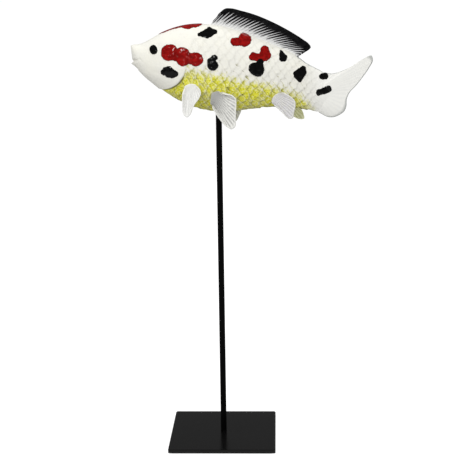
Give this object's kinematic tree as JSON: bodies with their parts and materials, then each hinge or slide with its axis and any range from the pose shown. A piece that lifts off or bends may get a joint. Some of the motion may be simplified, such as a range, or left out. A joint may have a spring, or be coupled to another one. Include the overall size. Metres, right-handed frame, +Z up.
{
  "type": "fish figurine",
  "caption": "Painted koi carp figure that swivels on a slim round rod above a square flat base plate and lifts off it.",
  "frame": {"origin": "centre of the base's underside, on the surface it stands on and on the rod's axis", "axes": "+Z up along the rod, the koi faces -X, +Y to the koi's right"},
  "size_m": [0.327, 0.15, 0.6083],
  "materials": {
    "stand_coat": "satin black powder coat",
    "rod_coat": "black powder coat",
    "felt": "pressed felt",
    "steel": "plain steel",
    "nylon": "natural nylon",
    "koi_body": "cast resin, painted and varnished",
    "koi_dorsal": "cast resin, painted with dark rays",
    "koi_fins": "cast resin, pearl paint"
  },
  "bodies": {
    "stand": {"base_plate": "stand_coat", "base_felt": "felt", "base_screw": "steel", "stand_rod": "rod_coat"},
    "pivot": {"swivel_cap": "nylon"},
    "fish": {"socket_sleeve": "steel", "body_left": "koi_body", "body_right": "koi_body", "dorsal_fin": "koi_dorsal", "tail_fin": "koi_fins", "pectoral_fin_left": "koi_fins", "pectoral_fin_right": "koi_fins", "pelvic_fin_left": "koi_fins", "pelvic_fin_right": "koi_fins", "anal_fin_left": "koi_fins", "anal_fin_right": "koi_fins"}
  },
  "joints": [
    {"name": "swivel", "type": "hinge", "parent": "stand", "child": "pivot", "pos_m": [0, 0, 0.5], "axis": [0, 0, 1], "continuous": true},
    {"name": "lift_off", "type": "slide", "parent": "pivot", "child": "fish", "axis": [0, 0, 1], "range_m": [0, 0.056]}
  ]
}
